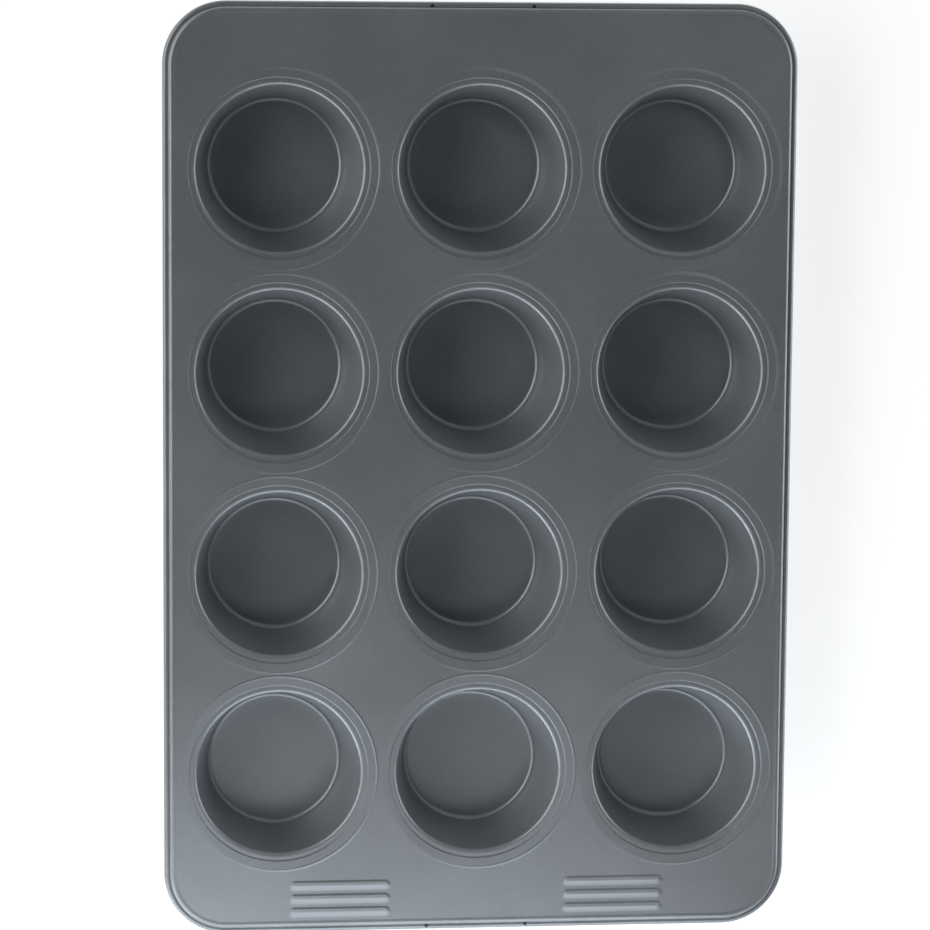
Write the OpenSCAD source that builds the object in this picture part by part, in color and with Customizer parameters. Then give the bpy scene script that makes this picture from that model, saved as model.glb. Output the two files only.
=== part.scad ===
/* [Tin] */
// Overall length of the tin, along Y
tin_length = 370; // [362:2:460]
// Overall width of the tin, along X
tin_width = 250; // [248:2:320]
// Outer radius of the four corners
corner_r = 25; // [15:1:40]
// Thickness of the coated steel sheet
sheet_t = 0.5; // [0.4:0.05:0.65]

/* [Cups] */
// Spacing of the three columns of cups, along X
column_pitch = 79.5; // [78.5:0.25:80]
// Spacing of the four rows of cups, along Y
row_pitch = 80; // [78.5:0.5:93]
// Depth of a cup, from the panel's top down to the floor
cup_depth = 32; // [22:1:45]
// Diameter of a cup where the wall's line meets the flange
mouth_d = 65.2; // [50:0.2:66]
// Diameter of a cup where the wall's line meets the floor
floor_d = 53.5; // [40:0.5:60]
// Radius of the rounded mouth, on the top surface
mouth_bend = 1.7; // [0.8:0.1:3]
// Radius of the inside corner between wall and floor
floor_bend = 2.4; // [1.5:0.1:8]

/* [Ring round each cup] */
// Width of the flat flange, from the wall's line to the foot of the step
flange_w = 2.9; // [1.9:0.1:3.4]
// Height of the small step at the flange's outer edge
step_h = 0.6; // [0.3:0.05:1]
// Width that the step takes on plan
step_w = 0.8; // [0.5:0.1:1.2]
// Depth of the shallow dish between the panel and the step
dish_h = 0.1; // [0.1:0.05:0.6]
// Width of that dish on plan
dish_w = 2.7; // [1.5:0.1:3]
// Radius of the bend at the step's top
step_bend = 0.7; // [0.6:0.05:0.8]
// Radius of the bend at the step's foot
step_foot_bend = 0.3; // [0.1:0.05:0.4]
// Radius of the bend where the dish leaves the panel
dish_bend = 1.5; // [1:0.1:3]
// Flat land kept on the cup's blank outside the dish
dish_land = 0.2; // [0.15:0.05:0.4]

/* [Rolled rim] */
// Diameter of the stiffening wire
wire_d = 1.7; // [1.2:0.1:2.4]
// Gap between the wire and the curl around it
wire_gap = 0.03; // [0.03:0.01:0.08]
// Height of the panel's top above the centre of the wire
rim_drop = 2.7; // [2.3:0.1:6]
// Radius of the bend from the panel down into the skirt
rim_bend = 1.6; // [0.9:0.1:1.6]
// Height of the low lip that runs along the panel's edge
lip_h = 0.1; // [0.1:0.05:0.5]
// Width of the lip's flat top, up to the start of the bend's corner
lip_w = 1.8; // [1.6:0.1:2.4]
// Width of the slope from the lip down to the panel
lip_slope_w = 0.9; // [0.6:0.1:1.4]
// Radius of the two soft bends of that slope
lip_bend = 0.8; // [0.6:0.1:1.2]
// Flat land kept on the rim's blank inside the slope
lip_land = 0.2; // [0.15:0.05:0.5]
// Clear gap between the curl's end and the skirt
curl_gap = 0.05; // [0.03:0.01:0.1]

/* [Crimp notches in the rim] */
// Spacing of the two notches on each short side
notch_spacing = 40; // [20:1:80]
// Radius of a half-round notch
notch_r = 0.8; // [0.5:0.1:1.2]

/* [Raised bars] */
// Length of a raised bar
bar_length = 39; // [20:1:50]
// Width of a raised bar
bar_w = 2.6; // [2:0.1:3.5]
// Height of a raised bar above the panel
bar_h = 0.35; // [0.2:0.05:0.5]
// Spacing of the three bars in a group
bar_pitch = 5.4; // [4.5:0.1:6]
// Distance between the middles of the two groups of bars
bar_group_spacing = 110; // [80:1:130]
// Distance of a group's middle bar from the end of the tin
bar_end_distance = 14.2; // [13:0.1:16]

/* [Hidden] */
$fn = 64;
// Number of straight pieces that stand for one bend of the sheet
bend_steps = 6;
// Number of straight pieces in the curl around the wire
curl_steps = 22;
// Spare length of a cutting tool beyond what it cuts
cut_spare = 1;

column_names = ["left", "middle", "right"];
row_count = 4;
column_count = len(column_names);

// Height of the panel's top above the surface that the cups stand on
panel_top = cup_depth + sheet_t;
// Heights of the dish's foot and of the flange
dish_z = panel_top - dish_h;
flange_z = dish_z - step_h;
// Radii of the rings round a cup, from the mouth outwards
mouth_r = mouth_d / 2;
step_foot_r = mouth_r + flange_w;
step_top_r = step_foot_r + step_w;
dish_r = step_top_r + dish_w;
cup_edge_r = dish_r + dish_land;

// Places across the rim, measured outwards from the tin's outer edge
curl_inner_r = wire_d / 2 + wire_gap;
curl_outer_r = curl_inner_r + sheet_t;
wire_x = -curl_outer_r;
skirt_x = wire_x - curl_inner_r;
lip_inner_x = skirt_x - lip_w;
slope_inner_x = lip_inner_x - lip_slope_w;
rim_inner_x = slope_inner_x - lip_land;
wire_z = panel_top - rim_drop;
// Angle round the wire at which the curl ends, just short of the skirt
curl_end = 360 + acos(-(curl_inner_r - curl_gap) / curl_outer_r);

// Half distances between the centres of the corners
corner_x = tin_width / 2 - corner_r;
corner_y = tin_length / 2 - corner_r;

function cup_name(row, column) = str("cup_row", row + 1, "_", column_names[column]);
function cup_place(row, column) = [
    (column - (column_count - 1) / 2) * column_pitch,
    ((row_count - 1) / 2 - row) * row_pitch
];

function unit(v) = v / norm(v);
function turned(v, angle) = [
    v.x * cos(angle) - v.y * sin(angle),
    v.x * sin(angle) + v.y * cos(angle)
];

// Signed angle from direction a to direction b, positive for a left turn
function turn_angle(a, b) = atan2(a.x * b.y - a.y * b.x, a.x * b.x + a.y * b.y);

// Points of one bend of radius r at a corner, on the line that lies an offset
// to the left of the path: the arc shares its centre with the path's own arc
function bend(before, corner, after, r, offset_left) =
    let (
        a = unit(corner - before),
        b = unit(after - corner),
        angle = turn_angle(a, b),
        side = sign(angle),
        normal = [-a.y, a.x],
        centre = corner - a * r * tan(abs(angle) / 2) + normal * r * side
    )
    [for (k = [0 : bend_steps])
        centre - turned(normal, angle * k / bend_steps) * side * (r - side * offset_left)];

// One face of a bent sheet: path is a list of [x, z, bend radius], the first
// and last being plain ends
function face_line(path, offset_left) =
    let (
        points = [for (p = path) [p.x, p.y]],
        last = len(path) - 1,
        first_normal = unit(points[1] - points[0]),
        last_normal = unit(points[last] - points[last - 1])
    )
    concat(
        [points[0] + [-first_normal.y, first_normal.x] * offset_left],
        [for (i = [1 : last - 1])
            each bend(points[i - 1], points[i], points[i + 1], path[i][2], offset_left)],
        [points[last] + [-last_normal.y, last_normal.x] * offset_left]
    );

function reversed(list) = [for (i = [len(list) - 1 : -1 : 0]) list[i]];

function arc(centre, r, from, to, steps) =
    [for (k = [0 : steps]) centre + turned([r, 0], from + (to - from) * k / steps)];

// Top face of a cup, from its edge in the panel to the middle of its floor
cup_path = [
    [cup_edge_r, panel_top],
    [dish_r, panel_top, dish_bend],
    [step_top_r, dish_z, step_bend],
    [step_foot_r, flange_z, step_foot_bend],
    [mouth_r, flange_z, mouth_bend],
    [floor_d / 2, sheet_t, floor_bend],
    [0, sheet_t]
];

// Top face of the rim, from the panel over the lip and down the skirt
rim_path = [
    [rim_inner_x, panel_top],
    [slope_inner_x, panel_top, lip_bend],
    [lip_inner_x, panel_top + lip_h, lip_bend],
    [skirt_x, panel_top + lip_h, rim_bend],
    [skirt_x, wire_z]
];

module cup(row, column) {
    color([0.27, 0.29, 0.30])
    translate(cup_place(row, column))
    rotate_extrude()
    polygon(concat(face_line(cup_path, 0), reversed(face_line(cup_path, sheet_t))));
}

module rounded_rectangle(size, r) {
    difference() {
        square(size, center = true);
        for (flip_x = [0, 1], flip_y = [0, 1])
            mirror([flip_x, 0]) mirror([0, flip_y])
            translate([size.x / 2 - r, size.y / 2 - r])
            difference() {
                square(r + cut_spare);
                circle(r);
            }
    }
}

module stadium(length, width) {
    square([length - width, width], center = true);
    for (side = [-1, 1])
        translate([side * (length - width) / 2, 0]) circle(d = width);
}

module at_bars() {
    for (group = [-1, 1], k = [-1 : 1])
        translate([
            group * bar_group_spacing / 2,
            -tin_length / 2 + bar_end_distance + k * bar_pitch
        ])
        children();
}

module panel() {
    color([0.36, 0.38, 0.39])
    difference() {
        union() {
            translate([0, 0, panel_top - sheet_t])
            linear_extrude(sheet_t)
            difference() {
                rounded_rectangle(
                    [tin_width + 2 * rim_inner_x, tin_length + 2 * rim_inner_x],
                    corner_r + rim_inner_x
                );
                for (row = [0 : row_count - 1], column = [0 : column_count - 1])
                    translate(cup_place(row, column)) circle(cup_edge_r);
            }
            at_bars()
            translate([0, 0, panel_top - sheet_t / 2])
            linear_extrude(bar_h + sheet_t / 2) stadium(bar_length, bar_w);
        }
        at_bars()
        translate([0, 0, panel_top - sheet_t - cut_spare])
        linear_extrude(bar_h + cut_spare)
        stadium(bar_length - 2 * sheet_t, bar_w - 2 * sheet_t);
    }
}

// Carries a profile round the tin's outline: its x is measured from a corner's centre
module round_the_tin() {
    for (quarter = [0 : 3]) {
        across = quarter % 2 == 0 ? corner_x : corner_y;
        along = quarter % 2 == 0 ? corner_y : corner_x;
        rotate(90 * quarter)
        translate([across, along, 0]) {
            rotate([90, 0, 0]) linear_extrude(2 * along) children();
            rotate_extrude(angle = 90) children();
        }
    }
}

module rim_profile() {
    wire = [wire_x, wire_z];
    translate([corner_r, 0])
    polygon(concat(
        face_line(rim_path, 0),
        arc(wire, curl_inner_r, 180, curl_end, curl_steps),
        arc(wire, curl_outer_r, curl_end, 180, curl_steps),
        reversed(face_line(rim_path, -sheet_t))
    ));
}

// Half-round cutter that opens the end of the curl down to the wire
module notch() {
    rotate_extrude(angle = 180)
    square([notch_r, rim_drop]);
}

module rolled_rim() {
    color([0.33, 0.35, 0.36])
    difference() {
        round_the_tin() rim_profile();
        for (end = [0, 180], side = [-1, 1])
            rotate(end)
            translate([side * notch_spacing / 2, tin_length / 2 + skirt_x, wire_z + wire_d / 4])
            notch();
    }
}

module rim_wire() {
    color([0.62, 0.63, 0.64])
    round_the_tin()
    translate([corner_r + wire_x, wire_z]) circle(d = wire_d);
}

panel();
for (row = [0 : row_count - 1], column = [0 : column_count - 1])
    cup(row, column);
rolled_rim();
rim_wire();
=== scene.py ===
# %% [markdown]
# # A twelve-cup muffin tin
#
# The real tin is one blank of thin steel with a non-stick coat. A press draws twelve cups into it,
# stamps a small step round every mouth and six bars at one end, bends the edge down into a skirt,
# and rolls that skirt around a wire. So nearly everything that the eye follows is a *bend*: a
# rounded line where the sheet changes direction and catches the light. This lesson builds those
# bends as true arcs, carries them round cups and corners with numpy, and then gives the sheet the
# satin coat that lets them shine.
#
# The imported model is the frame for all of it: sizes and places are read from its nodes.

# %% Load the frame
import math

import bmesh
import bpy
import numpy as np
from mathutils import Matrix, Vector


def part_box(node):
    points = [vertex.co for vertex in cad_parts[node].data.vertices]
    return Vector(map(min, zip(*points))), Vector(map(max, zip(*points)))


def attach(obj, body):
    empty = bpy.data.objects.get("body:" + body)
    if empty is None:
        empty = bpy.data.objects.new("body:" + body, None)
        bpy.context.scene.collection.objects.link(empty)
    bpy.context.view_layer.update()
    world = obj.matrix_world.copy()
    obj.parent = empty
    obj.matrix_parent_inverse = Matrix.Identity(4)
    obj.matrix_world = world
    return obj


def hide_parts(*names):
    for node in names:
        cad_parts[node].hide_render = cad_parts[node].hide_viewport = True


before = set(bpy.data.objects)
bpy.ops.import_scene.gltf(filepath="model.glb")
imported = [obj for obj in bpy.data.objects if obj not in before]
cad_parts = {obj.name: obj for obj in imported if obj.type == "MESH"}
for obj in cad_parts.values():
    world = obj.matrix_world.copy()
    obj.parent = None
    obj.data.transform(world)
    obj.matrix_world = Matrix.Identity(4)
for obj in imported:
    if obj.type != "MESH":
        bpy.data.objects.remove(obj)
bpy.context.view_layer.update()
print("frame nodes:", sorted(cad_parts))

# %% [markdown]
# ## Sizes
#
# Two kinds of size are needed. The first kind is measured on the frame: how high the panel lies, how
# thick the sheet is, where the wire runs. The second kind is the shape of the bends, which a box
# can't tell, so it is written here once, in metres, with `mm` as the unit.

# %% Sizes read from the frame, and the shape of the bends
mm = 0.001

cup_names = sorted(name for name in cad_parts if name.startswith("cup_"))
first_cup_low, first_cup_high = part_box(cup_names[0])
panel_low, bars_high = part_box("panel")
rim_low, rim_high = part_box("rolled_rim")
wire_low, wire_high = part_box("rim_wire")

panel_top = first_cup_high.z
sheet = panel_top - panel_low.z
bar_height = bars_high.z - panel_top
lip_height = rim_high.z - panel_top
half_width, half_length = rim_high.x, rim_high.y
panel_half_width, panel_half_length = bars_high.x, bars_high.y
cup_edge = (first_cup_high.x - first_cup_low.x) / 2
wire_radius = (wire_high.z - wire_low.z) / 2
wire_height = (wire_high.z + wire_low.z) / 2
curl_outside = wire_height - rim_low.z
curl_inside = curl_outside - sheet

corner_radius = 25 * mm
mouth_radius = 32.6 * mm
floor_radius = 26.75 * mm
flange_width = 2.8 * mm
step_width = 0.3 * mm
step_height = 0.6 * mm
dish_width = 2.7 * mm
dish_depth = 0.1 * mm
print(f"panel at {panel_top / mm:.2f} mm, sheet {sheet / mm:.2f} mm, wire {2 * wire_radius / mm:.2f} mm")

# %% [markdown]
# ## Camera
#
# The tin is seen from straight above, but the camera stands a little beyond the plain end and to
# the left, so every cup shows more of its right and lower wall. A long lens keeps the outline
# almost a true rectangle. Aiming with a matrix, and not with a tracking helper, keeps the long side
# upright in the picture: a helper would take the world's Z for "up", which a camera that looks
# straight down can't use.

# %% Camera
eye = np.array([-0.1694, 0.1981, 1.4962])
aim = np.array([-0.0060, 0.0033, panel_top])
roll = 0.0079

forward = (aim - eye) / np.linalg.norm(aim - eye)
right = np.cross(forward, [0, 1, 0])
right /= np.linalg.norm(right)
upward = np.cross(right, forward)
turned_right = right * math.cos(roll) + upward * math.sin(roll)
turned_upward = upward * math.cos(roll) - right * math.sin(roll)

camera_data = bpy.data.cameras.new("camera")
camera_data.lens = 145.5
camera_data.sensor_width = 36
camera = bpy.data.objects.new("camera", camera_data)
bpy.context.scene.collection.objects.link(camera)
placement = np.eye(4)
placement[:3, :4] = np.column_stack([turned_right, turned_upward, -forward, eye])
camera.matrix_world = Matrix(placement)
bpy.context.scene.camera = camera
print(f"camera {np.linalg.norm(aim - eye):.2f} m from the tin")

# %% [markdown]
# ## Light and floor
#
# A satin coat shows its surroundings more than its own colour, so the light is planned as a set of
# surfaces that the tin can mirror. Overhead it is dark: that keeps the level panel grey. A card, a
# strip and a weak lamp stand close to the near end, each higher than the one before. Their light
# falls off along the tin, which gives the panel its smooth change from pale to dark, and lights
# the floors of the nearest cups alone. Low boxes at the
# left, the right and the near left corner draw the bright lines on every bend that faces them, and
# two high ones light the cup floors. The room is dim, and darker overhead. The floor is a light
# table: it glows a little, so the tin lies on even white with hardly a shadow.

# %% Soft boxes and cards
bpy.context.scene.view_settings.view_transform = "Standard"


daylight = (0.955, 1.0, 1.04)
sky_blue = (0.93, 1.0, 1.07)
neutral = (1.0, 1.0, 1.0)
warm_white = (1.0, 0.99, 0.98)


def soft_box(name, place, size, radiance, tint=daylight):
    """A rectangular light at place that faces the middle of the tin. Its power is the radiance times
    pi times its area, because an even panel shines by the cosine law. Cameras don't see it."""
    data = bpy.data.lights.new(name, "AREA")
    data.shape = "RECTANGLE"
    data.size, data.size_y = size
    data.energy = radiance * math.pi * size[0] * size[1]
    data.color = tint
    box = bpy.data.objects.new(name, data)
    bpy.context.scene.collection.objects.link(box)
    away = np.array(place) - [0, 0, panel_top]
    away /= np.linalg.norm(away)
    across = np.cross([0, 0, 1], away)
    across /= np.linalg.norm(across)
    matrix = np.eye(4)
    matrix[:3, :4] = np.column_stack([across, np.cross(away, across), away, place])
    box.matrix_world = Matrix(matrix)
    box.visible_camera = False
    print(f"{name}: {data.energy:.1f} W")


soft_box("near_card", (0.0, -0.36, 0.16), (0.50, 0.20), 0.75, sky_blue)
soft_box("near_strip", (-0.08, -0.27, 0.17), (0.42, 0.16), 0.88, sky_blue)
soft_box("near_lamp", (-0.06, -0.24, 0.30), (0.40, 0.20), 0.18)
soft_box("near_box", (0.12, -0.79, 1.62), (0.62, 0.38), 0.95)
soft_box("far_box", (0.56, 0.56, 1.62), (0.62, 0.38), 1.08)
soft_box("left_card", (-0.68, 0.0, 0.60), (0.80, 0.40), 0.55, neutral)
soft_box("left_box", (-1.30, 0.47, 1.16), (1.80, 0.90), 1.45, warm_white)
soft_box("corner_box", (-1.20, -1.20, 0.45), (1.20, 0.60), 2.60)
soft_box("right_box", (1.70, 0.0, 0.50), (1.40, 0.60), 2.20)

# %% Dim room, darker overhead
world = bpy.data.worlds.new("dim_room")
world.use_nodes = True
room = world.node_tree
height = room.nodes.new("ShaderNodeSeparateXYZ")
room.links.new(room.nodes.new("ShaderNodeTexCoord").outputs["Generated"], height.inputs["Vector"])
darken = room.nodes.new("ShaderNodeMapRange")
for socket, value in (("From Min", 0.60), ("From Max", 0.80), ("To Min", 0.20), ("To Max", 0.01)):
    darken.inputs[socket].default_value = value
room.links.new(height.outputs["Z"], darken.inputs["Value"])
room.links.new(darken.outputs["Result"], room.nodes["Background"].inputs["Strength"])
room.nodes["Background"].inputs["Color"].default_value = (*daylight, 1)
bpy.context.scene.world = world

# %% Pale floor, a hair below the tin so that the two never share a plane
floor_half = 3.0
floor_level = -0.2 * mm
floor_glow = 0.65
floor_mesh = bpy.data.meshes.new("floor")
floor_mesh.from_pydata(
    [(-floor_half, -floor_half, floor_level), (floor_half, -floor_half, floor_level),
     (floor_half, floor_half, floor_level), (-floor_half, floor_half, floor_level)],
    [], [(0, 1, 2, 3)],
)
floor = bpy.data.objects.new("floor", floor_mesh)
bpy.context.scene.collection.objects.link(floor)
floor_paint = bpy.data.materials.new("pale_floor")
floor_paint.use_nodes = True
floor_shader = floor_paint.node_tree.nodes["Principled BSDF"]
floor_shader.inputs["Base Color"].default_value = (0.9, 0.9, 0.9, 1)
floor_shader.inputs["Roughness"].default_value = 0.9
floor_shader.inputs["Emission Color"].default_value = (1, 1, 1, 1)
floor_shader.inputs["Emission Strength"].default_value = floor_glow
floor_mesh.materials.append(floor_paint)

# %% [markdown]
# ## The satin non-stick coat
#
# The coat is a dark resin full of fine metal flake, baked on to the steel. Seen close it has three
# scales. Flakes a few tenths of a millimetre wide catch the light one by one. The resin dries with
# a faint orange peel. And over centimetres the film is a little thicker here and thinner there,
# which shifts its tone and gloss. The bends are painted paler, partly as wear where the coat is
# stretched thin and rubbed, and partly as a painted highlight along the bright lines that the bends
# catch: each mesh carries an attribute named `bend` that says where.
#
# All patterns read Object coordinates. Every piece lies in the same frame, so the grain runs on
# from the panel into the cups without a seam.

# %% Helpers for shader nodes


def add_node(tree, kind, **settings):
    """Adds a shader node; settings whose name is a socket set that socket, the rest set properties."""
    node = tree.nodes.new(kind)
    for key, value in settings.items():
        socket_name = key.replace("_", " ")
        if socket_name in node.inputs:
            node.inputs[socket_name].default_value = value
        else:
            setattr(node, key, value)
    return node


def blend_factor(tree, source, low, high, out_low, out_high):
    """Maps a value from the span low..high on to out_low..out_high, held at the ends."""
    node = add_node(tree, "ShaderNodeMapRange")
    for name, value in (("From Min", low), ("From Max", high), ("To Min", out_low), ("To Max", out_high)):
        node.inputs[name].default_value = value
    tree.links.new(source, node.inputs["Value"])
    return node.outputs["Result"]


# %% The coat
def make_coat():
    """Flake, orange peel, cloudy film, and bends painted paler as wear and as a painted highlight, on one
    metallic shader.
    """
    coat = bpy.data.materials.new("satin_coat")
    coat.use_nodes = True
    tree = coat.node_tree
    shader = tree.nodes["Principled BSDF"]
    shader.inputs["Metallic"].default_value = 0.62
    place = add_node(tree, "ShaderNodeTexCoord").outputs["Object"]

    flake = add_node(tree, "ShaderNodeTexVoronoi", Scale=2600.0)
    film = add_node(tree, "ShaderNodeTexNoise", Scale=22.0, Detail=3.0, Roughness=0.55)
    peel = add_node(tree, "ShaderNodeTexNoise", Scale=900.0, Detail=2.0, Roughness=0.6)
    specks = add_node(tree, "ShaderNodeTexNoise", Scale=420.0, Detail=1.0)
    for texture in (flake, film, peel, specks):
        tree.links.new(place, texture.inputs["Vector"])

    tone = add_node(tree, "ShaderNodeMix", data_type="RGBA")
    tone.inputs["A"].default_value = (0.348, 0.367, 0.384, 1)
    tone.inputs["B"].default_value = (0.412, 0.433, 0.454, 1)
    flake_grey = add_node(tree, "ShaderNodeRGBToBW")
    tree.links.new(flake.outputs["Color"], flake_grey.inputs["Color"])
    tree.links.new(flake_grey.outputs["Val"], tone.inputs["Factor"])

    cloud = add_node(tree, "ShaderNodeMix", data_type="RGBA", blend_type="MULTIPLY")
    cloud.inputs["Factor"].default_value = 1.0
    cloud_tone = add_node(tree, "ShaderNodeCombineColor")
    cloud_value = blend_factor(tree, film.outputs["Fac"], 0.3, 0.7, 0.94, 1.06)
    for channel in ("Red", "Green", "Blue"):
        tree.links.new(cloud_value, cloud_tone.inputs[channel])
    tree.links.new(tone.outputs["Result"], cloud.inputs["A"])
    tree.links.new(cloud_tone.outputs["Color"], cloud.inputs["B"])

    # Paler colour on the bends: partly wear of the coat, partly a painted highlight along the lines the
    # bends catch.
    bend = add_node(tree, "ShaderNodeAttribute", attribute_name="bend").outputs["Fac"]
    wear_and_highlight_amount = add_node(tree, "ShaderNodeMath", operation="MULTIPLY")
    tree.links.new(bend, wear_and_highlight_amount.inputs[0])
    tree.links.new(blend_factor(tree, specks.outputs["Fac"], 0.42, 0.62, 0.04, 0.22), wear_and_highlight_amount.inputs[1])
    # Mix towards a pale grey on the bends: worn coat and painted highlight.
    worn_and_highlight = add_node(tree, "ShaderNodeMix", data_type="RGBA")
    worn_and_highlight.inputs["B"].default_value = (0.56, 0.57, 0.58, 1)
    tree.links.new(cloud.outputs["Result"], worn_and_highlight.inputs["A"])
    tree.links.new(wear_and_highlight_amount.outputs["Value"], worn_and_highlight.inputs["Factor"])
    tree.links.new(worn_and_highlight.outputs["Result"], shader.inputs["Base Color"])

    gloss = add_node(tree, "ShaderNodeMath", operation="ADD")
    tree.links.new(blend_factor(tree, film.outputs["Fac"], 0.3, 0.7, 0.335, 0.375), gloss.inputs[0])
    tree.links.new(blend_factor(tree, flake_grey.outputs["Val"], 0.0, 1.0, -0.03, 0.03), gloss.inputs[1])
    tree.links.new(gloss.outputs["Value"], shader.inputs["Roughness"])

    skin = add_node(tree, "ShaderNodeBump", Strength=0.10, Distance=0.00004)
    tree.links.new(peel.outputs["Fac"], skin.inputs["Height"])
    tree.links.new(skin.outputs["Normal"], shader.inputs["Normal"])
    return coat


satin_coat = make_coat()
print("coat nodes:", len(satin_coat.node_tree.nodes))

# %% [markdown]
# ## The steel wire
#
# The wire is plain drawn steel. Only four small notches in the rolled edge let it show, so its
# finish is simple: streaks drawn out along it, rough across them. Its colour is kept very dark, a
# painted shade, so that the notches where it shows look dark.

# %% Wire steel


def make_wire_steel():
    """Drawn steel: streaks that run round the tin, from noise stretched along the wire's own U, on a colour
    kept very dark as painted shade in the notches.
    """
    steel = bpy.data.materials.new("notch_shade_steel")
    steel.use_nodes = True
    tree = steel.node_tree
    shader = tree.nodes["Principled BSDF"]
    shader.inputs["Metallic"].default_value = 1.0
    along = add_node(tree, "ShaderNodeAttribute", attribute_name="wrap").outputs["Vector"]
    stretch = add_node(tree, "ShaderNodeMapping")
    stretch.inputs["Scale"].default_value = (40.0, 900.0, 1.0)
    streaks = add_node(tree, "ShaderNodeTexNoise", Scale=1.0, Detail=4.0, Roughness=0.6)
    tree.links.new(along, stretch.inputs["Vector"])
    tree.links.new(stretch.outputs["Vector"], streaks.inputs["Vector"])
    # Very dark steel colour: painted shade for the notches in the rim where the wire shows.
    ramp = add_node(tree, "ShaderNodeValToRGB")
    ramp.color_ramp.elements[0].color = (0.10, 0.10, 0.10, 1)
    ramp.color_ramp.elements[1].color = (0.24, 0.235, 0.23, 1)
    tree.links.new(streaks.outputs["Fac"], ramp.inputs["Fac"])
    tree.links.new(ramp.outputs["Color"], shader.inputs["Base Color"])
    dullness = blend_factor(tree, streaks.outputs["Fac"], 0.2, 0.8, 0.28, 0.5)
    tree.links.new(dullness, shader.inputs["Roughness"])
    lines = add_node(tree, "ShaderNodeBump", Strength=0.3, Distance=0.00002)
    tree.links.new(streaks.outputs["Fac"], lines.inputs["Height"])
    tree.links.new(lines.outputs["Normal"], shader.inputs["Normal"])
    return steel


notch_shade_steel = make_wire_steel()

# %% [markdown]
# ## Bending a sheet on paper
#
# A bent sheet is drawn as a path of straight runs with an arc at every corner. Its other face
# shares the arcs' centres: a bend of radius r on one face has radius r minus or plus the
# thickness on the other. So one function gives the path's points and, at each, the direction to
# its left. Moving along that direction by the sheet's thickness gives the other face exactly, with
# no thinning in the bends.

# %% Bent paths


def bent_path(corners, radii, run_steps, arc_steps=10):
    """Points along a path with an arc at each inner corner, the unit normals to its left, and how
    sharply it bends there, from 0 on a straight run to 1 in an arc. run_steps has one count a run.

    At a corner between unit directions a and b that differ by an angle, the arc's centre lies r
    to the turning side of the point r * tan(angle / 2) before the corner."""
    corners = np.asarray(corners, float)
    directions = np.diff(corners, axis=0)
    directions /= np.linalg.norm(directions, axis=1, keepdims=True)
    lefts = directions[:, ::-1] * [-1, 1]
    points, normals, bends = [corners[:1]], [lefts[:1]], [np.zeros(1)]
    for k, radius in enumerate(radii):
        a, b, left = directions[k], directions[k + 1], lefts[k]
        angle = math.atan2(a[0] * b[1] - a[1] * b[0], a @ b)
        side = math.copysign(1, angle)
        start = corners[k + 1] - a * radius * math.tan(abs(angle) / 2)
        centre = start + left * radius * side
        turn = angle * np.arange(arc_steps + 1) / arc_steps
        spun = np.column_stack([left[0] * np.cos(turn) - left[1] * np.sin(turn),
                                left[0] * np.sin(turn) + left[1] * np.cos(turn)])
        run = np.arange(1, run_steps[k])[:, None] / run_steps[k]
        points += [points[-1][-1] + (start - points[-1][-1]) * run, centre - spun * radius * side]
        normals += [np.repeat(left[None], len(run), 0), spun]
        bends += [np.zeros(len(run)), np.sin(np.pi * np.arange(arc_steps + 1) / arc_steps)]
    run = np.arange(1, run_steps[-1] + 1)[:, None] / run_steps[-1]
    points.append(points[-1][-1] + (corners[-1] - points[-1][-1]) * run)
    normals.append(np.repeat(lefts[-1:], len(run), 0))
    bends.append(np.zeros(len(run)))
    return np.concatenate(points), np.concatenate(normals), np.concatenate(bends)


# %% [markdown]
# ## From a grid of points to a mesh
#
# Every piece ends as a rectangular grid of points: one direction along the profile, the other
# along the path that carries it. Neighbours in the grid make the faces, and a direction that
# closes on itself joins its last row to its first. The signed volume of the result says whether
# its faces point outwards, and turns them round if they don't.

# %% Grids to meshes


def grid_faces(rows, columns, close_rows=False, close_columns=False):
    """Four-cornered faces between neighbours of a rows x columns grid, as vertex numbers."""
    row = np.arange(rows if close_rows else rows - 1)[:, None]
    column = np.arange(columns if close_columns else columns - 1)[None, :]
    next_row, next_column = (row + 1) % rows, (column + 1) % columns
    corners = [row * columns + column, row * columns + next_column,
               next_row * columns + next_column, next_row * columns + column]
    return np.stack(np.broadcast_arrays(*corners), -1).reshape(-1, 4)


def enclosed_volume(points, faces):
    """Six times the signed volume inside faces: the sum over their triangles of a . (b x c)."""
    a, b, c, d = (points[faces[:, k]] for k in range(4))
    return float(np.einsum("ij,ij->", a, np.cross(b, c)) + np.einsum("ij,ij->", a, np.cross(c, d)))


def merge_doubles(mesh, gap=1e-7):
    """Joins points that lie on each other, such as the ring of points at a pole."""
    work = bmesh.new()
    work.from_mesh(mesh)
    bmesh.ops.remove_doubles(work, verts=work.verts, dist=gap)
    work.to_mesh(mesh)
    work.free()


def make_piece(name, points, faces, material, bend=None, crease_degrees=32):
    """A smooth-shaded object at the origin from points and faces, with doubled points merged."""
    if enclosed_volume(points, faces) < 0:
        faces = faces[:, ::-1]
    mesh = bpy.data.meshes.new(name)
    mesh.from_pydata(points.tolist(), [], faces.tolist())
    if bend is not None:
        mesh.attributes.new("bend", "FLOAT", "POINT").data.foreach_set("value", bend.astype(np.float32))
    merge_doubles(mesh)
    mesh.shade_smooth()
    mesh.set_sharp_from_angle(angle=math.radians(crease_degrees))
    mesh.materials.append(material)
    piece = bpy.data.objects.new(name, mesh)
    bpy.context.scene.collection.objects.link(piece)
    return piece


# %% [markdown]
# ## The cups
#
# A cup is a surface of revolution. Its profile starts in the middle of the floor, rounds the
# corner into the tapered wall, turns out over the mouth on to a narrow flange, climbs the small
# step, and meets the panel at the edge of a shallow dish. The other face of the sheet brings
# it back. Turned a full circle, that closed outline gives a shell of even thickness with no seam.

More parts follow.
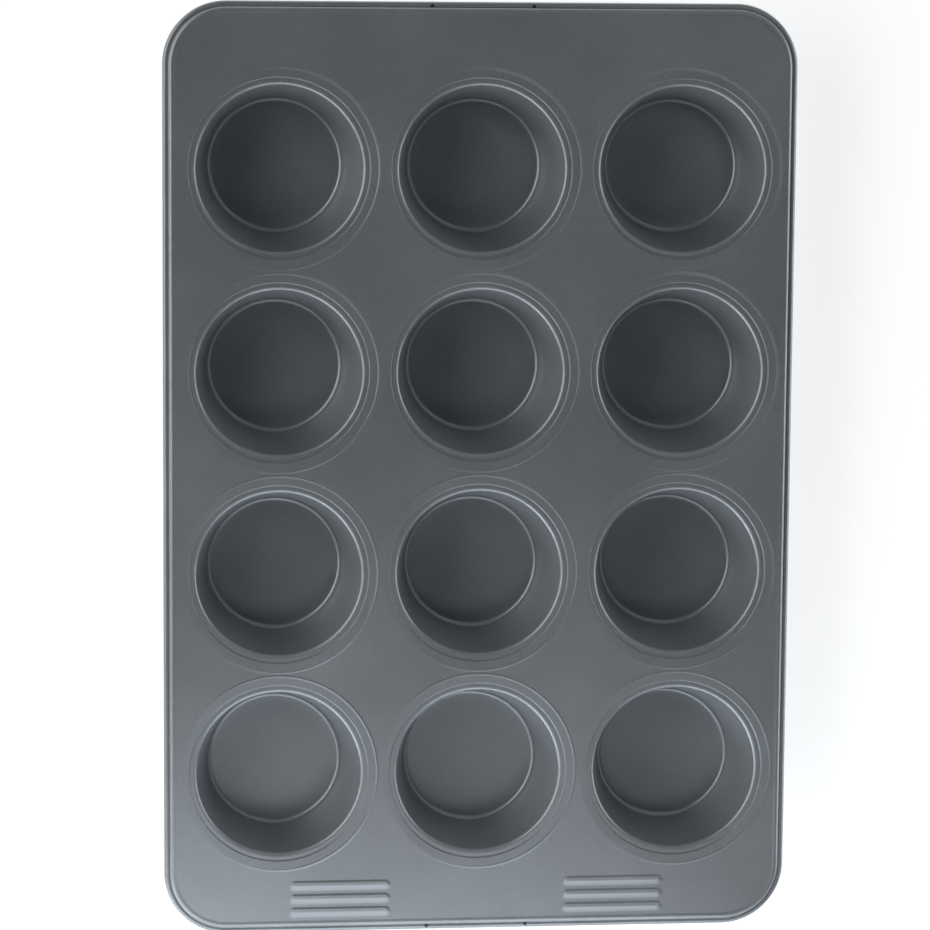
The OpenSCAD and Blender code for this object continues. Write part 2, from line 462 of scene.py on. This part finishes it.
# %% One cup's profile
# How far down from the mouth, and how far short of the step, the bends are painted paler as wear and
# painted highlight.
wear_and_highlight_depth = 5 * mm
wear_and_highlight_short_of_step = 1 * mm
flange_height = panel_top - dish_depth - step_height
step_foot = mouth_radius + flange_width
step_top = step_foot + step_width
dish_edge = step_top + dish_width
ring_radius = 39.3 * mm
ring_half_width = 0.75 * mm
ring_height = 0.20 * mm
ring_strongest = math.radians(10)
ring_narrowing = 1.5


def cup_profile():
    """Closed outline (radius, height) of a cup's sheet, from the floor's middle and back, and how
    pale the coat is painted there: as far as it bends, but only round the mouth, partly as wear where hands
    and cloths rub and partly as a painted highlight on the mouth's bends."""
    corners = [(cup_edge, panel_top), (dish_edge, panel_top), (step_top, panel_top - dish_depth),
               (step_foot, flange_height), (mouth_radius, flange_height), (floor_radius, sheet), (0, sheet)]
    radii = [1.5 * mm, 0.15 * mm, 0.15 * mm, 1.7 * mm, 2.0 * mm]
    top, normals, bends = bent_path(corners, radii, [6, 14, 1, 4, 10, 8])
    round_mouth = (top[:, 1] >= flange_height - wear_and_highlight_depth) & (top[:, 0] <= step_foot - wear_and_highlight_short_of_step)
    bends = bends * round_mouth
    under = top + normals * sheet
    return np.concatenate([top[::-1], under]), np.concatenate([bends[::-1], bends])


def draw_ring(distance, angle):
    """Height of the faint ring pressed in round a cup: a cosine hump across it, strongest at the
    right and gone at the left, because the tool bears unevenly. Its strength is half of one plus
    the cosine of the angle from the strongest place, to a power that narrows it."""
    across = np.clip((distance - ring_radius) / ring_half_width, -1, 1)
    strength = (0.5 + 0.5 * np.cos(angle - ring_strongest)) ** ring_narrowing
    return ring_height * strength * (0.5 + 0.5 * np.cos(np.pi * across))


def revolve(profile, centre, turns):
    """Grid of points (turns x profile): each profile point (r, z) goes to centre + (r cos, r sin, z),
    with the draw ring's height added."""
    angle = 2 * np.pi * np.arange(turns)[:, None] / turns
    r, z = profile[:, 0], profile[:, 1]
    return np.stack([centre[0] + r * np.cos(angle), centre[1] + r * np.sin(angle),
                     z + draw_ring(r, angle)], -1)


# %% Twelve cups
cup_outline, cup_bend = cup_profile()
cup_turns = 192
for name in cup_names:
    low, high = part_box(name)
    grid = revolve(cup_outline, (low + high) / 2, cup_turns)
    faces = grid_faces(cup_turns, len(cup_outline), close_rows=True)
    cup = make_piece(name + "_shell", grid.reshape(-1, 3), faces, satin_coat, np.tile(cup_bend, cup_turns))
    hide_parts(name)
    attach(cup, "root")
print(f"{len(cup_names)} cups of {len(cup.data.polygons)} faces")

# %% [markdown]
# ## The panel
#
# The panel is flat but for six bars, so its mesh only has to fill an awkward outline: a rectangle
# with round corners and twelve round holes. It is laid out as a patchwork. Round each cup lies a
# square patch whose rings run from the hole's circle out to the square's sides, and each end of
# the tin has a patch of straight columns that stop at the rounded outline. Patches share the same
# column and row positions, so they join point to point. The bars are raised in the end patch as
# a height that depends on the distance to each bar's middle line.

# %% Column and row positions that the patches share
cup_centres = np.array([(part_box(name)[0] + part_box(name)[1]) / 2 for name in cup_names])[:, :2]
column_centres = np.unique(np.round(cup_centres[:, 0], 6))
row_centres = np.unique(np.round(cup_centres[:, 1], 6))
column_pitch = column_centres[1] - column_centres[0]
row_pitch = row_centres[1] - row_centres[0]
panel_corner = corner_radius - (half_width - panel_half_width)
straight_end = panel_half_width - panel_corner
last_row = row_centres[-1] + row_pitch / 2

bar_length, bar_width, bar_pitch = 39 * mm, 2.6 * mm, 5.4 * mm
bar_middle, bars_from_end = 55 * mm, 14.2 * mm
bar_centres = [(side * bar_middle, -half_length + bars_from_end + k * bar_pitch)
               for side in (-1, 1) for k in (-1, 0, 1)]


def refined(start, stop, coarse, fine, places, reach):
    """Positions from start to stop, about coarse apart, and fine apart within reach of the places."""
    steps = [np.linspace(start, stop, int(round((stop - start) / coarse)) + 1)]
    for place in places:
        steps.append(np.linspace(place - reach, place + reach, int(round(2 * reach / fine)) + 1))
    every = np.unique(np.round(np.concatenate(steps), 7))
    every = every[(every > start + fine / 2) & (every < stop - fine / 2)]
    kept = every[np.concatenate([[True], np.diff(every) > fine / 3])]
    return np.concatenate([[start], kept, [stop]])


bar_ends = [side * bar_middle + end * (bar_length / 2 - 0.6 * mm) for side in (-1, 1) for end in (-1, 1)]
cell_edges = column_centres[:-1] + column_pitch / 2
middle_columns = refined(-straight_end, straight_end, 1.5 * mm, 0.2 * mm, bar_ends, 1.4 * mm)
nearest = [int(np.argmin(abs(middle_columns - edge))) for edge in cell_edges]
middle_columns[nearest] = cell_edges
corner_turn = np.linspace(0, np.pi / 2, 25)[1:]
corner_columns = straight_end + panel_corner * np.sin(corner_turn)
columns = np.concatenate([-corner_columns[::-1], middle_columns, corner_columns])
cell_rows = np.linspace(-row_pitch / 2, row_pitch / 2, 55)
print(f"{len(columns)} shared columns, {len(cell_rows)} rows to a cell")

# %% Height of the raised bars


def bar_profile(x, y):
    """Height of the bars at (x, y): full inside a bar, and an S-shaped fall over its side wall,
    as a function of the distance to the bar's middle line. The wall's middle is the bar's edge.
    The wall is crisp on the side towards the cups and eased off towards the end of the tin, and
    its width changes evenly from one to the other across the bar."""
    crisp, soft = 0.55 * mm, 3.0 * mm
    height = np.zeros_like(x)
    for bar_x, bar_y in bar_centres:
        half_run = (bar_length - bar_width) / 2
        beyond = np.maximum(abs(x - bar_x) - half_run, 0)
        distance = np.hypot(beyond, y - bar_y)
        side_wall = crisp + (soft - crisp) * np.clip(0.5 - (y - bar_y) / bar_width, 0, 1)
        fall = np.clip((distance - bar_width / 2) / side_wall + 0.5, 0, 1)
        height = np.maximum(height, bar_height * (1 - fall * fall * (3 - 2 * fall)))
    return height


def all_draw_rings(flat):
    """Height of the highest draw ring of any cup at each point of the panel."""
    away = flat[:, None] - cup_centres[None]
    heights = draw_ring(np.linalg.norm(away, axis=2), np.arctan2(away[..., 1], away[..., 0]))
    return heights.max(axis=1)


# %% Patches of the panel


ring_steps, ring_spacing = 8, 0.14 * mm


def cup_patch(centre, left, right_side):
    """Rings of points from a cup's hole to its cell's outline, as a closed grid. The first rings lie
    ring_spacing apart, or closer where the outline comes near, so they can carry the draw ring."""
    xs = columns[(columns > left - 1e-9) & (columns < right_side + 1e-9)] - centre[0]
    bottom = np.column_stack([xs[:-1], np.full(len(xs) - 1, cell_rows[0])])
    side = np.column_stack([np.full(len(cell_rows) - 1, xs[-1]), cell_rows[:-1]])
    top = np.column_stack([xs[:0:-1], np.full(len(xs) - 1, cell_rows[-1])])
    back = np.column_stack([np.full(len(cell_rows) - 1, xs[0]), cell_rows[:0:-1]])
    outline = np.concatenate([bottom, side, top, back])
    reach = np.linalg.norm(outline, axis=1)
    ring = np.arange(ring_steps)[:, None]
    beyond = np.minimum(ring * ring_spacing, (reach - cup_edge) * ring / ring_steps)
    fine_rings = cup_edge + beyond
    distance = np.vstack([fine_rings, (fine_rings[-1] + reach) / 2, reach])
    return outline * (distance / reach)[..., None] + centre


def end_patch(direction, row_count):
    """Columns of points from the last row of cells to the rounded end of the panel."""
    beyond = np.maximum(abs(columns) - straight_end, 0)
    reach = last_row + np.sqrt(np.maximum(panel_corner ** 2 - beyond ** 2, 0))
    share = np.linspace(0, 1, row_count)[:, None]
    x = np.broadcast_to(columns, (row_count, len(columns)))
    return np.stack([x, direction * (last_row + (reach - last_row) * share)], -1)


def sharpen_border(mesh):
    """Marks edges with one face as sharp, so the sheet's cut edge isn't shaded as a round one."""
    edge_of_corner = np.empty(len(mesh.loops), np.int32)
    mesh.loops.foreach_get("edge_index", edge_of_corner)
    on_border = np.bincount(edge_of_corner, minlength=len(mesh.edges)) == 1
    sharp = mesh.attributes.new("sharp_edge", "BOOLEAN", "EDGE")
    sharp.data.foreach_set("value", on_border)
    print(f"border edges: {on_border.sum()}")


# %% Put the panel together
patches = []
for centre in cup_centres:
    left = centre[0] - column_pitch / 2 if centre[0] > column_centres[0] + 1e-6 else -panel_half_width
    right_side = centre[0] + column_pitch / 2 if centre[0] < column_centres[-1] - 1e-6 else panel_half_width
    patches.append((cup_patch(centre, left, right_side), True))
patches.append((end_patch(-1, 120), False))
patches.append((end_patch(1, 16), False))

points, faces, start = [], [], 0
for grid, closed in patches:
    flat = grid.reshape(-1, 2)
    height = panel_top + bar_profile(flat[:, 0], flat[:, 1]) + all_draw_rings(flat)
    points.append(np.column_stack([flat, height]))
    quads = grid_faces(grid.shape[0], grid.shape[1], close_columns=closed)
    a, b, c = (flat[quads[:, k]] for k in (0, 1, 2))
    upward_turn = np.median((b - a)[:, 0] * (c - b)[:, 1] - (b - a)[:, 1] * (c - b)[:, 0])
    faces.append((quads if upward_turn > 0 else quads[:, ::-1]) + start)
    start += len(flat)
panel_mesh = bpy.data.meshes.new("panel_sheet")
panel_points = np.concatenate(points)
panel_mesh.from_pydata(panel_points.tolist(), [], np.concatenate(faces).tolist())
merge_doubles(panel_mesh, 2e-6)
panel_mesh.shade_smooth()
sharpen_border(panel_mesh)
panel_mesh.materials.append(satin_coat)
panel = bpy.data.objects.new("panel_sheet", panel_mesh)
bpy.context.scene.collection.objects.link(panel)
thickness = panel.modifiers.new("sheet", "SOLIDIFY")
thickness.thickness = sheet
thickness.offset = -1
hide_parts("panel")
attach(panel, "root")
print(f"panel: {len(panel_mesh.polygons)} faces")

# %% [markdown]
# ## The rolled rim
#
# The rim has one cross-section all the way round: from the panel over a low lip, down the skirt,
# and around the wire until the sheet's end comes to rest near the skirt. That outline is
# carried round the tin by *stations*. A station is a centre and an angle: along a straight side the
# centre moves and the angle stands still, and in a corner the angle turns and the centre stands
# still. A point of the outline then lies at its own distance from the centre, so the corners are
# true arcs.
#
# A real roll is never perfect. The bead swells and shrinks by a few hundredths of a millimetre, it
# is tucked tighter in the corners, and at four places on the short sides the edge is nicked by the
# crimping tool, so that the wire shows.

# %% Stations round the tin


def stations(spacing, corner_steps, fine_places, fine_reach, fine_spacing):
    """Centres and angles round the outline, from the middle of the right side, anticlockwise.
    fine_places are distances from the middle of a short side at which the stations crowd."""
    half_x, half_y = half_width - corner_radius, half_length - corner_radius
    centres, angles = [], []
    for quarter in range(4):
        across, along = (half_x, half_y) if quarter % 2 == 0 else (half_y, half_x)
        crowded = fine_places if quarter % 2 else []
        t = refined(-along, along, spacing, fine_spacing, crowded, fine_reach)
        turn = quarter * np.pi / 2
        outward = np.array([math.cos(turn), math.sin(turn)])
        onward = np.array([-math.sin(turn), math.cos(turn)])
        centres.append(outward * across + onward * t[:-1, None])
        angles.append(np.full(len(t) - 1, turn))
        centres.append(np.tile(outward * across + onward * along, (corner_steps, 1)))
        angles.append(turn + np.pi / 2 * np.arange(corner_steps) / corner_steps)
    return np.concatenate(centres), np.concatenate(angles)


def carry(profile, centres, angles):
    """Grid of points (stations x profile). profile is (stations, points, 2): the distance from
    the tin's outer edge, negative inwards, and the height."""
    reach = corner_radius + profile[..., 0]
    return np.stack([centres[:, :1] + reach * np.cos(angles)[:, None],
                     centres[:, 1:] + reach * np.sin(angles)[:, None],
                     profile[..., 1]], -1)


# %% The rim's outline at one station
notch_offset, notch_half = 20 * mm, 0.8 * mm
wire_in = -curl_outside
skirt_face = wire_in - curl_inside
rim_inner = panel_half_width - half_width


def rim_outline(curl_end_degrees):
    """Closed outline (distance from the outer edge, height) of the rim's sheet for a curl that
    ends at the given angle round the wire, measured from straight outwards."""
    lip_slope, lip_flat = 0.9 * mm, 1.8 * mm
    corners = [(rim_inner, panel_top), (skirt_face - lip_flat - lip_slope, panel_top),
               (skirt_face - lip_flat, panel_top + lip_height), (skirt_face, panel_top + lip_height),
               (skirt_face, wire_height)]
    face, normals, bends = bent_path(corners, [3 * mm, 3 * mm, 1.6 * mm], [1, 1, 1, 2])
    under = face - normals * sheet
    turn = np.radians(np.linspace(180, 360 + curl_end_degrees, 37))
    circle = np.column_stack([np.cos(turn), np.sin(turn)])
    middle = np.array([wire_in, wire_height])
    inner, outer = middle + circle * curl_inside, middle + circle * curl_outside
    outline = np.concatenate([face, inner[1:], outer[:0:-1], under[::-1]])
    # The whole curl of the bead is painted a little paler: wear and painted highlight.
    curl_bend = np.full(len(inner) - 1, 0.25)
    return outline, np.concatenate([bends, curl_bend, curl_bend, bends[::-1]])


# %% Carry the outline round the tin
rim_centres, rim_angles = stations(2.5 * mm, 28, (-notch_offset, notch_offset), 1.6 * mm, 0.1 * mm)
on_short_side = np.isin(np.round(rim_angles, 6), np.round([np.pi / 2, 3 * np.pi / 2], 6))
from_notch = np.where(on_short_side, abs(abs(rim_centres[:, 0]) - notch_offset), 1.0)
notch_depth = np.sqrt(np.maximum(1 - (from_notch / notch_half) ** 2, 0))
full_curl, notch_cut = 127, 62
curl_end = full_curl - notch_cut * notch_depth

rim_bends = rim_outline(full_curl)[1]
rim_profiles = np.stack([rim_outline(angle)[0] for angle in curl_end])
arc_length = np.concatenate([[0], np.cumsum(np.hypot(
    np.linalg.norm(np.diff(rim_centres, axis=0), axis=1), corner_radius * np.diff(rim_angles)))])
way_round = 2 * np.pi * arc_length / (arc_length[-1] + 1 * mm)
wobble_height = 0.03 * mm
wobble = wobble_height * (np.sin(23 * way_round + 0.7) + 0.7 * np.sin(41 * way_round + 2.1))
in_bead = np.clip((rim_profiles[..., 0] - skirt_face) / curl_outside, 0, 1)
rim_profiles[..., 0] -= in_bead * (abs(wobble) * 0.6)[:, None]
rim_profiles[..., 1] += in_bead * wobble[:, None]

rim_grid = carry(rim_profiles, rim_centres, rim_angles)
rim_faces = grid_faces(*rim_grid.shape[:2], close_rows=True, close_columns=True)
rim = make_piece("rolled_rim_sheet", rim_grid.reshape(-1, 3), rim_faces, satin_coat,
                 np.tile(rim_bends, len(rim_centres)))
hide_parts("rolled_rim")
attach(rim, "root")
print(f"rim: {len(rim.data.polygons)} faces from {len(rim_centres)} stations")

# %% [markdown]
# ## The wire
#
# The wire follows the same stations as the rim, with a circle as its outline. A point attribute
# named `wrap` says how far along and how far round it each point lies, so that the drawn
# streaks follow it through the corners.

# %% Wire
wire_sides = 20
wire_turn = 2 * np.pi * np.arange(wire_sides) / wire_sides
wire_outline = np.column_stack([wire_in + wire_radius * np.cos(wire_turn),
                                wire_height + wire_radius * np.sin(wire_turn)])
wire_centres, wire_angles = stations(4 * mm, 28, (), 0, 1 * mm)
wire_profiles = np.broadcast_to(wire_outline, (len(wire_centres), wire_sides, 2))
wire_grid = carry(wire_profiles, wire_centres, wire_angles)
wire = make_piece("rim_wire_steel", wire_grid.reshape(-1, 3),
                  grid_faces(*wire_grid.shape[:2], close_rows=True, close_columns=True), notch_shade_steel)
wire_way = np.concatenate([[0], np.cumsum(np.linalg.norm(np.diff(wire_grid[:, 0], axis=0), axis=1))])
wrap = np.zeros((len(wire_centres), wire_sides, 3), np.float32)
wrap[..., 0] = wire_way[:, None]
wrap[..., 1] = wire_radius * np.sin(wire_turn)
wire.data.attributes.new("wrap", "FLOAT_VECTOR", "POINT").data.foreach_set("vector", wrap.ravel())
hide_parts("rim_wire")
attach(wire, "root")
print(f"wire: {wire_way[-1]:.2f} m long")
